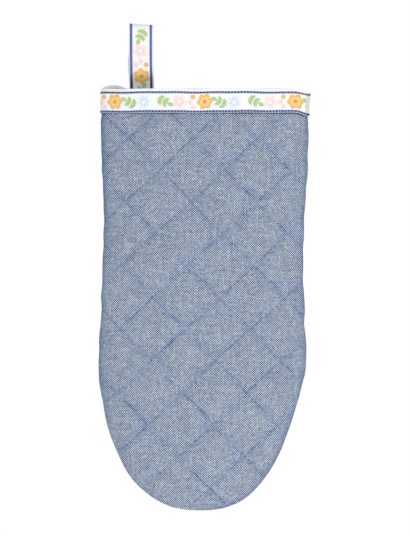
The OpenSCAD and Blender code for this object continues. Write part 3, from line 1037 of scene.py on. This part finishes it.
wrist_right = np.stack([drift(down) + width_at(down), down], -1)[::-1]
root = across_line(THUMB_X - NOTCH, THUMB_X + NOTCH, THUMB_DROP, fine=(False, False))
wrist_curve = np.concatenate([wrist_left, left_shoulder[::-1][1:], root[1:], right_shoulder[::-1][1:],
                              wrist_right[1:]])
wrist_top = top_line(wrist_curve)
thumb_end = THUMB_DROP + THUMB_LENGTH
tip_start = THUMB_DROP + SEAT_GAP + TIP_SHARE * THUMB_LENGTH
dome_line = side_line(THUMB_DROP, thumb_width, lambda d: THUMB_X + 0 * d, tip_start, thumb_end)
dome_curve = resample(dome_line, 2.1)
dome_top = across_line(dome_curve[-1][0], dome_curve[0][0], THUMB_DROP, fine=(False, False))[1:-1]

front = Panel("back_panel", front_curve, front_top, wall, FRONT, FRONT_QUILT, [front_curve], [front_curve])
finger = Panel("palm_finger_panel", finger_curve, finger_top, wall, PALM, PALM_QUILT,
               [finger_curve, right_shoulder, left_shoulder], [finger_curve], [right_shoulder, left_shoulder])
wrist = Panel("palm_wrist_panel", wrist_curve, wrist_top, wall, PALM, PALM_QUILT,
              [wrist_left, wrist_right, right_shoulder, left_shoulder], [wrist_left, wrist_right],
              [right_shoulder, left_shoulder])
thumb = Panel("thumb_outer_panel", dome_curve, dome_top, dome, PALM, THUMB_QUILT, [dome_curve])
panels = [front, finger, wrist, thumb]
objects = [p.build(moved) for p, moved in zip(panels, inflate([p.job() for p in panels]))]
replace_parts(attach(objects[0], "mitt"), "back_cover", "back_wadding")
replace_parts(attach(objects[1], "mitt"), "palm_finger_cover", "palm_finger_wadding")
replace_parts(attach(objects[2], "mitt"), "palm_wrist_cover", "palm_wrist_wadding")
thumb_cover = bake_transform(objects[3])
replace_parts(thumb_cover, "thumb_outer_cover", "thumb_outer_wadding")

QUILT_RADIUS = 0.26
mitt_runs = [run for p in panels[:3] for run in p.stitch_runs()]
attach(threads("quilting_stitches", mitt_runs, QUILT_RADIUS, BLUE), "mitt")
obj = threads("thumb_quilting_stitches", thumb.stitch_runs(), QUILT_RADIUS, BLUE)
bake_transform(obj)

# ---- Linings ----
front_lining_curve, wrist_lining_curve = with_rim(front_curve), with_rim(wrist_curve)
for name, curve, top, place, side, quilt, nodes, size in (
        ("back_lining_cloth", front_lining_curve, top_line(front_lining_curve), wall, FRONT,
         FRONT_QUILT, "back_lining", (0.152, 0.313)),
        ("palm_finger_lining_cloth", finger_curve, finger_top, wall, PALM, PALM_QUILT,
         "palm_finger_lining", (0.152, 0.193)),
        ("palm_wrist_lining_cloth", wrist_lining_curve, top_line(wrist_lining_curve), wall, PALM,
         PALM_QUILT, "palm_wrist_lining", (0.150, 0.120)),
        ("thumb_outer_lining_cloth", dome_curve, dome_top, dome, PALM, THUMB_QUILT,
         "thumb_outer_lining", (0.075, 0.105))):
    obj, area = lining(name, curve, top, place, side, quilt)
    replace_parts(obj, nodes)
    if place is dome:
        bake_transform(obj)
    else:
        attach(obj, "mitt")

# ---- Thumb's inner half, a quilted pad on the palm ----
PAD_END, PAD_CLEAR = 0.94, 0.8


def pad(u, t, h):
    """A point of the pad at the share u of its half width, t along the thumb and h off the palm."""
    room = (THUMB_DEPTH - WALL) * thumb_cap(t) * thumb_swell(t) / THUMB_DEPTH
    narrower = np.maximum(0, 1 - np.minimum(0.98, h / room) ** 2) ** (1 / SECTION_POWER)
    width = ((thumb_half(t) - LINING_INSET) * thumb_cap(t) - PAD_CLEAR) * narrower
    x = THUMB_X + width * u
    level = thumb_level(t, LINING_INSET)
    return np.stack([x, palm_y(x, level) + THUMB_REST_GAP + h, -level], -1)


def sheet_solid(name, outer, inner, material, cloth, tint=None):
    """A closed solid between two grids of points, both as rows x columns x 3."""
    rows, cols = outer.shape[:2]
    a = np.arange(rows * cols).reshape(rows, cols)[:-1, :-1].ravel()
    faces = [tuple(f) for f in np.stack([a, a + 1, a + cols + 1, a + cols], -1).tolist()]
    outer, inner, cloth = (grid.reshape(-1, 3) for grid in (outer, inner, cloth))
    tint = None if tint is None else tint.reshape(-1, 3)
    return layered(name, outer, inner, facing(outer, faces, outer - inner), material, cloth, tint)


us, ts = np.meshgrid(np.sin(np.linspace(-1, 1, 41) * np.pi / 2), np.linspace(HOLE_SHARE, PAD_END, 61))
pad_low, pad_mid, pad_top = pad(us, ts, 0.0), pad(us, ts, WADDING_DEPTH), pad(us, ts, WALL)
pad_line = np.minimum(*THUMB_QUILT.distance(pad_low[..., 0], -pad_low[..., 2]))
dent = 0.3 * np.exp(-(pad_line / 1.6) ** 2)[..., None] * np.array([0, 1, 0])
pad_cloth = np.stack([pad_low[..., 0], -pad_low[..., 2], 0 * us + 50], -1)
obj = sheet_solid("thumb_inner_panel", pad_low + dent, pad_mid, CHAMBRAY, pad_cloth, np.ones(us.shape + (3,)))
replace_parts(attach(obj, "thumb"), "thumb_inner_cover", "thumb_inner_wadding")
obj = sheet_solid("thumb_inner_lining_cloth", pad_top, pad_mid + [0, 0.02, 0], COTTON, pad_cloth)
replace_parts(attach(obj, "thumb"), "thumb_inner_lining")

# ---- Gusset: the cloth round the thumb's opening, in its rest shape ----
# It runs down the opening's left side, along its bottom and up its right side. On each row of points
# hole_u is the share of the half width, gusset_d the drop, and at_bottom is 1 on the bottom part.
GUSSET_LOW, GUSSET_HIGH, GUSSET_STEPS = 12.7, 13.45, 8
SIDE_COUNT, BOTTOM_COUNT = 18, 36
low_d = THUMB_DROP + HOLE_HEIGHT - 0.2
side_d = np.linspace(THUMB_DROP + 0.2, low_d, SIDE_COUNT)
hole_u = np.concatenate([np.full(SIDE_COUNT, -1.0), np.linspace(-1, 1, BOTTOM_COUNT + 2)[1:-1],
                         np.full(SIDE_COUNT, 1.0)])
gusset_d = np.concatenate([side_d, np.full(BOTTOM_COUNT, low_d), side_d[::-1]])
at_bottom = (gusset_d == low_d) * 1.0
base_x, outer_x = hole_u * (NOTCH - 0.3), hole_u * (thumb_half(thumb_share(gusset_d)) - 1.7)
fold = np.clip((gusset_d - THUMB_DROP) / HOLE_HEIGHT, 0, 1)
rows, across_rows = [], []
for y in (8.3, 9.7, 11.2, 12.2):  # rows inside the palm's wall, up to where the gusset starts to show
    rows.append((base_x, 0 * hole_u + y, -gusset_d))
    across_rows.append(0 * hole_u + y - GUSSET_LOW)
for f in np.linspace(0, 1, GUSSET_STEPS + 1):
    rise_y = GUSSET_LOW + (GUSSET_HIGH - GUSSET_LOW) * fold * f
    rows.append((mix(base_x, outer_x, f), rise_y, -gusset_d - 0.35 * f * at_bottom))
    across_rows.append(0.9 * HOLE_HEIGHT * fold * f)
tuck = (outer_x * (1 - 0.03 * (1 - at_bottom)), rows[-1][1] + mix(0.03, 1.1, at_bottom), rows[-1][2])
rows.append(tuck)
across_rows.append(across_rows[-1] + 1.0)
gusset_out = np.stack([np.stack([THUMB_X + x, y, z], -1) for x, y, z in rows])
inward_way = np.stack([-hole_u * (1 - at_bottom), 0 * hole_u, at_bottom], -1)
inward_way[[SIDE_COUNT - 1, -SIDE_COUNT]] = [[0.7, 0, 0.7], [-0.7, 0, 0.7]]  # its two corners
gusset_run = run_along(np.stack([base_x, gusset_d], -1))
gusset_cloth = np.stack([np.tile(gusset_run, (len(rows), 1)), across_rows,
                         np.full((len(rows), len(hole_u)), 60.0)], -1)
# Painted shade: the gusset's tint of 0.94 darkens it a little, as it lies in the thumb's opening.
obj = sheet_solid("thumb_gusset", gusset_out, gusset_out + 0.35 * inward_way, CHAMBRAY, gusset_cloth,
                  np.ones(gusset_out.shape) * 0.94)
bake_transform(obj)

# ---- Printed ribbon ----
WHITE, STRIPE, STRIPE_PALE = linear(250, 252, 253), linear(106, 118, 180), linear(180, 190, 222)
AMBER, AMBER_LIGHT, AMBER_DARK = linear(248, 192, 108), linear(250, 212, 146), linear(232, 160, 76)
GREEN = linear(184, 210, 146)
PINK, PINK_DARK = linear(253, 236, 233), linear(250, 223, 220)
SKY, SKY_DARK = linear(230, 243, 251), linear(214, 233, 246)
SHADOW = linear(240, 226, 222)  # on the part of the ribbon that lies under its folded end
# The loop's stripe colour in full light, and as painted shade near the loop's foot.
LOOP_STRIPE_SHADED, LOOP_STRIPE_LIT = linear(50, 60, 120), linear(88, 104, 176)


def paint(colour, mask, ink):
    """The colour with ink on it where the mask is 1."""
    return colour + np.clip(mask, 0, 1)[..., None] * (np.array(ink) - colour)


def spot(s, v, x, y, r):
    """A round spot. All these masks have a soft edge about 0.35 mm wide."""
    return (r - np.hypot(s - x, v - y)) / 0.35 + 0.5


def petal_mask(s, v, x, y, r, count, turn, gap):
    """A flower of round petals with a notch between each two."""
    angle, far = np.arctan2(v - y, s - x), np.hypot(s - x, v - y)
    edge = r * (1 - gap * (1 - np.abs(np.cos(count * (angle - turn) / 2)) ** 0.7))
    return (edge - far) / 0.35 + 0.5


def leaf_mask(s, v, x, y, length, width, turn):
    """A leaf that starts at x, y and points along turn."""
    a = (s - x) * math.cos(turn) + (v - y) * math.sin(turn)
    b = -(s - x) * math.sin(turn) + (v - y) * math.cos(turn)
    half = width * np.sin(np.pi * np.clip(a / length, 0, 1) ** 0.8) / 2
    return np.where((a > 0) & (a < length), (half - np.abs(b)) / 0.3 + 0.5, 0)


def flower(colour, s, v, x, y, r, count, turn, ink, light, heart, gap=0.42):
    """The colour with a flower of count petals at x, y, in two shades, with a heart."""
    colour = paint(colour, petal_mask(s, v, x, y, r, count, turn, gap), ink)
    colour = paint(colour, 0.8 * petal_mask(s, v, x, y, 0.62 * r, count, turn, gap), light)
    return paint(colour, spot(s, v, x, y, r * 0.24), heart)


def sprig(colour, s, v, x, y, size, turn):
    """A stem with two pairs of leaves on it and one leaf at its end."""
    a, b = math.cos(turn), math.sin(turn)
    run, off = (s - x) * a + (v - y) * b, -(s - x) * b + (v - y) * a
    stem = np.where((run > 0) & (run < size), (0.4 - np.abs(off)) / 0.35 + 0.5, 0)
    colour = paint(colour, stem, GREEN)
    for at, bend in ((0.12, 0.9), (0.12, -0.9), (0.48, 0.8), (0.48, -0.8), (0.78, 0.0)):
        leaf = leaf_mask(s, v, x + a * size * at, y + b * size * at, size * 0.48, size * 0.30, turn + bend)
        colour = paint(colour, leaf, GREEN)
    return colour


STITCH_PITCH = 2.3  # from one topstitch to the next
REPEAT, PRINT_START = 66.0, 20.0  # length of the print's repeat, and its place on the band
LAP_PRINT = 40.7  # the print's place where one end of the ribbon shows under the other


def print_colour(s, v, stripe, half_stripe=0.8):
    """The ribbon's colour at s along it and v across it: small flowers between two stripes."""
    colour = np.ones(s.shape + (3,)) * np.array(WHITE)
    t = np.mod(s, REPEAT)
    mid = (UPPER_ROW + LOWER_ROW) / 2
    for shift in (0, -REPEAT, REPEAT):
        x = t + shift
        colour = flower(colour, x, v, 6.5, mid + 0.4, 5.4, 8, 0.2, SKY, SKY_DARK, WHITE)
        colour = sprig(colour, x, v, 12.0, mid + 2.9, 10.5, -0.5)
        colour = flower(colour, x, v, 28.0, mid - 0.2, 5.9, 6, 0.1, AMBER, AMBER_LIGHT, AMBER_DARK, 0.3)
        for k, (dx, dy) in enumerate(((0, -3.6), (2.2, 0.2), (-0.4, 3.6))):
            colour = paint(colour, spot(x, v, 36.6 + dx, mid + dy, 1.8), PINK_DARK if k else AMBER)
        colour = flower(colour, x, v, 46.4, mid + 0.2, 5.6, 5, 0.5, PINK, PINK_DARK, WHITE, 0.36)
        colour = sprig(colour, x, v, 62.6, mid - 2.6, 10.5, 2.7)
    for at in (UPPER_ROW, LOWER_ROW):
        colour = paint(colour, (half_stripe - np.abs(v - at)) / 0.3 + 0.5, stripe)
    return colour


def between_stitches(colour, s, v):
    """The stripes are paler in the gaps between the stitches, where the thread draws them apart."""
    gap = (0.42 - STITCH_PITCH * np.abs(s / STITCH_PITCH - np.round(s / STITCH_PITCH))) / 0.3 + 0.5
    for at in (UPPER_ROW, LOWER_ROW):
        on_stripe = (0.55 - np.abs(v - at)) / 0.3 + 0.5
        colour = paint(colour, np.clip(gap, 0, 1) * np.clip(on_stripe, 0, 1), STRIPE_PALE)
    return colour


BAND_OFF, BAND_T, BAND_ROWS, BAND_COLUMNS = 0.35, 0.5, 43, 860  # off the chambray, thick, points
FOLD_U = 0.949  # where the ribbon's outer end is folded under, beside the right side seam
UNDER_U = 0.86  # where its inner end stops, under the outer one
LAP_OFF, LAP_INNER_OFF = 1.5, 0.65  # how far the outer end's two faces stand off, to clear the inner end


def band_drop(x, d):
    """The ribbon's right corner hangs lower than the rest, and its lower edge rises a little before it."""
    corner = ease((x - 66.5) / 10) * (1.4 + 1.7 * np.exp(-d / 1.3) + 1.2 * ease((d - 4) / 11))
    return corner - 0.4 * ease((x - 5) / 60) * ease(d / RIBBON_WIDTH)


def band_spot(u, side, d, off):
    """A point off the chambray round the cuff. The ribbon stands further off at the right seam."""
    right = ease((u - 0.78) / 0.2) * mix(1.7, 0.6, ease(d / RIBBON_WIDTH))
    y = side * (depth_at(d, -off) + 0.6 * right) * section(u)
    hollow = 0.45 * np.sin(np.pi * d / RIBBON_WIDTH) * ease((-u - 0.9) / 0.1)
    x = drift(d) + (width_at(d) + off + right) * u - hollow
    wave = 0.16 * np.sin(x / 9.0 + side) + 0.1 * np.sin(x / 4.1)
    z = -d + rise(u, d) * (side == PALM) - band_drop(x, d) + wave
    return np.stack([x, y, z], -1)


def band_path():
    """u, side, part and run along the ribbon from its outer end round the palm and under that end.

    The part is 0 over the mitt's back, 1 over its palm and 2 under the outer end.
    """
    turns = [(math.asin(FOLD_U), -math.pi / 2, 900), (-math.pi / 2, math.pi / 2, 900),
             (math.pi / 2, math.asin(UNDER_U), 160)]
    pieces = [np.sin(np.linspace(*turn))[min(k, 1):] for k, turn in enumerate(turns)]
    u = np.concatenate(pieces)
    part = np.concatenate([np.full(len(piece), k) for k, piece in enumerate(pieces)])
    side = np.where(part == 1, PALM, FRONT)
    run = run_along(band_spot(u, side, 0 * u, 0.5)[:, :2])
    at = np.linspace(0, run[-1], BAND_COLUMNS)
    near = np.clip(np.searchsorted(run, at), 0, len(run) - 1)
    return np.interp(at, run, u), side[near], part[near], at


def band_grid(drops, off, lap_off):
    """Rows of points round the cuff, one for each drop, with the lap at the right seam."""
    u, side, part, run = band_path()
    lap = np.where(part == 0, lap_off * ease((u - 0.80) / 0.1), 0)
    rows = np.stack([band_spot(u, side, np.full(len(u), max(0.0, d)), off + lap) for d in drops])
    rows[..., 2] -= np.minimum(0, drops)[:, None]
    return rows, run, part


band_drops = np.linspace(-0.45, RIBBON_WIDTH - 0.85, BAND_ROWS)
band_outer, band_run, band_part = band_grid(band_drops, BAND_OFF + BAND_T, LAP_OFF)
band_inner, _, _ = band_grid(band_drops, BAND_OFF, LAP_INNER_OFF)
s_grid, v_grid = np.meshgrid(band_run, band_drops)
band_tint = between_stitches(print_colour(s_grid + PRINT_START, v_grid, STRIPE), s_grid, v_grid)
under = ((band_part == 2) * ease((band_outer[0, :, 0] - 60) / 5))[None, :, None]
under_tint = print_colour(s_grid * 0 + LAP_PRINT, v_grid, STRIPE) * np.array(SHADOW)
band = sheet_solid("cuff_band", band_outer, band_inner, RIBBON,
                   np.stack([s_grid, v_grid, 0 * s_grid], -1), mix(band_tint, under_tint, under))
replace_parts(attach(band, "mitt"), "cuff_ribbon")


def stitches_and_edge_shadow(level):
    """Dashes of dark thread in the chambray, close under the ribbon's lower edge: stitches, which also paint
    the shadow of that edge.
    """
    runs = []
    width, middle = float(width_at(np.float64(level))), float(drift(np.float64(level)))
    half = width * WALL_ARC[1][-1]
    for side in (FRONT, PALM):
        for k, start in enumerate(np.arange(-half, half - 2, STITCH_PITCH)):
            s = start + np.linspace(0, 1.8, 5)
            u = np.sign(s) * np.interp(np.abs(s) / width, WALL_ARC[1], WALL_ARC[0])
            x = middle + width * u
            d = level + 0.08 * math.sin(1.9 * k) + 0.7 * ease((x - 67) / 8)
            runs.append(wall(x, d, -0.02, -0.02, side))
    return runs


def band_stitches(level, length=1.7):
    """Dashes of thread along the ribbon, a little uneven in length and height."""
    grid, run, _ = band_grid(np.array([level]), BAND_OFF + BAND_T, LAP_OFF)
    runs = []
    for k in range(int(run[-1] / STITCH_PITCH) - 3):
        own = length * (1 + 0.18 * math.sin(2.9 * k))
        at = (k + 0.5) * STITCH_PITCH + np.linspace(-0.5, 0.5, 5) * own
        p = np.stack([np.interp(at, run, grid[0][:, c]) for c in range(3)], -1)
        p[:, 2] += 0.08 * math.sin(1.7 * k) - 0.1 * np.abs(np.linspace(-1, 1, 5)) ** 2
        runs.append(p)
    return runs


def inner_stitches(level, first, pitch=6.5, length=0.7):
    """The small parts of the topstitches that come through to the lining."""
    runs = []
    for side in (FRONT, PALM):
        for start in np.arange(first, 68, pitch):
            x = start + np.linspace(0, length, 4)
            runs.append(wall(x, np.full(4, level), WALL + 0.15, LINING_INSET, side))
    return runs


ROW_RADIUS, EDGE_RADIUS = 0.48, 0.42
runs = band_stitches(UPPER_ROW) + inner_stitches(1.7, -67.5)
obj = threads("upper_topstitches", runs, ROW_RADIUS, NAVY)
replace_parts(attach(obj, "mitt"), "upper_topstitching")
runs = band_stitches(LOWER_ROW) + inner_stitches(LOWER_ROW, -66.0)
obj = threads("lower_topstitches", runs, ROW_RADIUS, NAVY)
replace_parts(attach(obj, "mitt"), "lower_topstitching")
# Dark dashes under the ribbon's edge: partly stitches, partly painted shadow of the edge.
obj = threads("ribbon_edge_stitches_and_shadow", stitches_and_edge_shadow(RIBBON_WIDTH - 0.55), EDGE_RADIUS, NAVY)
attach(obj, "mitt")

# ---- Hanging loop, one ribbon from tail to tail ----
LOOP_T, LOOP_FOOT = 0.5, 0.4  # thickness, and how far above the cuff its legs part
arch = (LOOP_HIGH[1] - LOOP_LOW[1]) / 2 - LOOP_T / 2
arch_z = LOOP_TOP - LOOP_T / 2 - arch


def loop_line():
    """The loop from the side, as its middle line, from the front tail over the top to the rear one."""
    z_up = np.linspace(-TAIL_DROP, arch_z, 90)
    half = mix(0.35, arch, ease((z_up - LOOP_FOOT) / 26))
    turn = np.linspace(math.pi, 0, 26)[1:-1]
    front_leg = np.stack([LOOP_Y - half, z_up], -1)
    top = np.stack([LOOP_Y + arch * np.cos(turn), arch_z + arch * np.sin(turn)], -1)
    back_leg = np.stack([LOOP_Y + half, z_up], -1)[::-1]
    return np.concatenate([front_leg, top, back_leg])


line = resample(loop_line(), 0.45)
along = unit(np.gradient(line, axis=0))
out = np.stack([-along[:, 1], along[:, 0]], -1)
loop_run = run_along(line)
v_row = np.linspace(0, RIBBON_WIDTH, BAND_ROWS)
from_middle = v_row - RIBBON_WIDTH / 2


def loop_grid(off):
    """A face of the ribbon. The loop leans a little, and its rear leg shows beside the front one."""
    line_y, line_z = line[:, :1], line[:, 1:]
    free = ease(line_z / 26)
    behind = ease((line_y - LOOP_Y) / 3) * ease(line_z / 6) * (1 - ease((line_z - 20) / 10))
    x = LOOP_X + from_middle - 0.75 * behind - 0.4 * free
    y = line_y + out[:, :1] * off + 0.045 * from_middle * free
    z = line_z + out[:, 1:] * off + (0.25 - 0.06 * from_middle) * free
    return np.stack([x, y, z], -1)


s_loop, v_loop = np.meshgrid(loop_run, v_row, indexing="ij")
# Painted shade: the loop's stripes darken towards its foot.
stripe_share = ease((line[:, 1] - 2) / 16)[:, None, None]
loop_stripe = mix(np.array(LOOP_STRIPE_SHADED), np.array(LOOP_STRIPE_LIT), stripe_share)
loop_v = (RIBBON_WIDTH - v_loop - 9.3) * 0.962 + 9.3  # the print is turned over and its stripes set apart
loop_tint = print_colour(s_loop + 4, loop_v, loop_stripe, 0.95)
# Painted shadow: the whole loop is darker near its foot, where the cuff shades it.
loop_tint = loop_tint * (1 - 0.17 * (1 - ease((line[:, 1] - 5) / 8)))[:, None, None]
loop = sheet_solid("loop_ribbon", loop_grid(0.24), loop_grid(-0.24), RIBBON,
                   np.stack([s_loop, v_loop, 0 * s_loop], -1), loop_tint)
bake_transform(loop)
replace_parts(loop, "hanging_loop", "loop_tails")

# ---- Floor, light and camera ----
BACKGROUND, AMBIENT = 1.0, 0.66
GLOW_RANGE = (0.5, 1.3)  # metres from the mitt at which the floor starts to glow, and does so fully


def stage_material():
    """A pale floor, which glows like the background beyond the mitt where it is seen."""
    n = Nodes("pale_floor")
    n.finish((0.86, 0.86, 0.86), 0.9)
    x, y, _ = n.split(n.node("NewGeometry").outputs["Position"])
    far = n.math("SQRT", n.plus(n.times(x, x), n.times(y, y)))
    share = n.times(n.range(far, *GLOW_RANGE, 0.0, 1.0), n.seen())
    n.show(share, n.shader, n.node("Emission"))
    return n.material


FLOOR_Z, FLOOR_RADIUS, FLOOR_SIDES = -1300, 3000, 64
angles = np.linspace(0, 2 * np.pi, FLOOR_SIDES, endpoint=False)
floor_points = np.stack([FLOOR_RADIUS * np.cos(angles), FLOOR_RADIUS * np.sin(angles),
                         np.full(FLOOR_SIDES, FLOOR_Z)], -1)
floor = make("floor", floor_points, [tuple(range(FLOOR_SIDES))], stage_material(), smooth_faces=False)

# The background is white where it is seen, and gives less light than that.
studio = Nodes("studio", of_world=True)
light, backdrop = (studio.node("Background", ((1, 1, 1), strength)) for strength in (AMBIENT, BACKGROUND))
studio.show(studio.seen(), light, backdrop)
bpy.context.scene.world = studio.material

MIDDLE = Vector((0.0, 0.0, -LENGTH * MM / 2 + 0.0235))  # the mitt's with its loop, in metres


def lamp(name, place, size, power):
    """A round area light, size metres across and power watts, at place from the mitt's middle."""
    data = bpy.data.lights.new(name, "AREA")
    data.shape, data.size, data.energy = "DISK", size, power
    obj = add_object(name, data)
    obj.location = MIDDLE + Vector(place)
    obj.rotation_mode = "QUATERNION"
    obj.rotation_quaternion = (-Vector(place)).to_track_quat("-Z", "Y")


lamp("key", (0.62, -1.75, -0.87), 0.5, 14.5)
lamp("fill", (-0.3, -1.9, 0.9), 1.4, 3.5)
lamp("rear", (-0.6, 1.8, 0.9), 1.2, 8.0)

camera_data = bpy.data.cameras.new("camera")
camera = add_object("camera", camera_data)
DISTANCE, VIEW_SIZE = 5.0, 0.3913  # the view's longer side, in metres at that distance
camera.location = (0.0004, -0.014 - DISTANCE, -0.1305)
camera.rotation_euler = (math.radians(90), 0, 0)
camera_data.sensor_width = 36.0
camera_data.lens = 36.0 * DISTANCE / VIEW_SIZE
camera_data.clip_start, camera_data.clip_end = 0.05, 20
bpy.context.scene.camera = camera

scene = bpy.context.scene
scene.view_settings.view_transform = "Standard"
